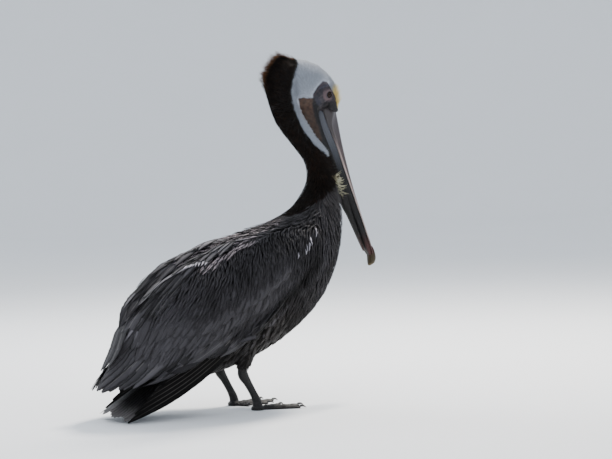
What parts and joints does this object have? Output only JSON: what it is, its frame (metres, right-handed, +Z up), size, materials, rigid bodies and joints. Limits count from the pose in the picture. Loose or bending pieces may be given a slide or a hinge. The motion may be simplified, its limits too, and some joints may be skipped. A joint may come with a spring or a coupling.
{
  "type": "brown pelican",
  "caption": "Life-size still model of a standing brown pelican with folded wings, S-curved neck and long bill tucked down in front of its breast.",
  "frame": {"origin": "on the floor, under the middle of the bird's bounding box", "axes": "+X the way the bird faces, +Y its left, +Z up"},
  "size_m": [0.6548, 0.2352, 0.7126],
  "materials": {
    "head_plumage": "short soft white feathers, matt",
    "neck_plumage": "dense dark chestnut-brown feathers, velvety",
    "body_plumage": "grey-brown feathers with silvery streaks, matt",
    "wing_plumage": "silver-grey feathers with dark edges, satin",
    "flight_feathers": "black flight feathers with pale shafts, satin",
    "tail_feathers": "grey tail feathers with worn tips, matt",
    "bill_horn": "grey-brown horn, smooth with fine lengthwise grain",
    "bill_nail": "ochre horn, smooth",
    "pouch_skin": "bare dark olive-brown skin, finely creased",
    "eye": "wet and glossy, dark brown",
    "leg_skin": "dark grey scaly skin, matt",
    "claw_horn": "black horn, slight sheen"
  },
  "bodies": {
    "root": {"bill_nail": "bill_nail", "claw_L_hind": "claw_horn", "claw_L_inner": "claw_horn", "claw_L_middle": "claw_horn", "claw_L_outer": "claw_horn", "claw_R_hind": "claw_horn", "claw_R_inner": "claw_horn", "claw_R_middle": "claw_horn", "claw_R_outer": "claw_horn", "eye_L": "eye", "eye_R": "eye", "foot_L": "leg_skin", "foot_R": "leg_skin", "head": "head_plumage", "lower_mandible": "bill_horn", "neck_lower": "neck_plumage", "neck_middle": "neck_plumage", "neck_upper": "neck_plumage", "pouch": "pouch_skin", "shank_L": "leg_skin", "shank_R": "leg_skin", "tail": "tail_feathers", "thigh_L": "body_plumage", "thigh_R": "body_plumage", "trunk": "body_plumage", "upper_mandible": "bill_horn", "wing_L_coverts": "wing_plumage", "wing_L_primaries": "flight_feathers", "wing_L_secondaries": "wing_plumage", "wing_R_coverts": "wing_plumage", "wing_R_primaries": "flight_feathers", "wing_R_secondaries": "wing_plumage"}
  },
  "joints": []
}
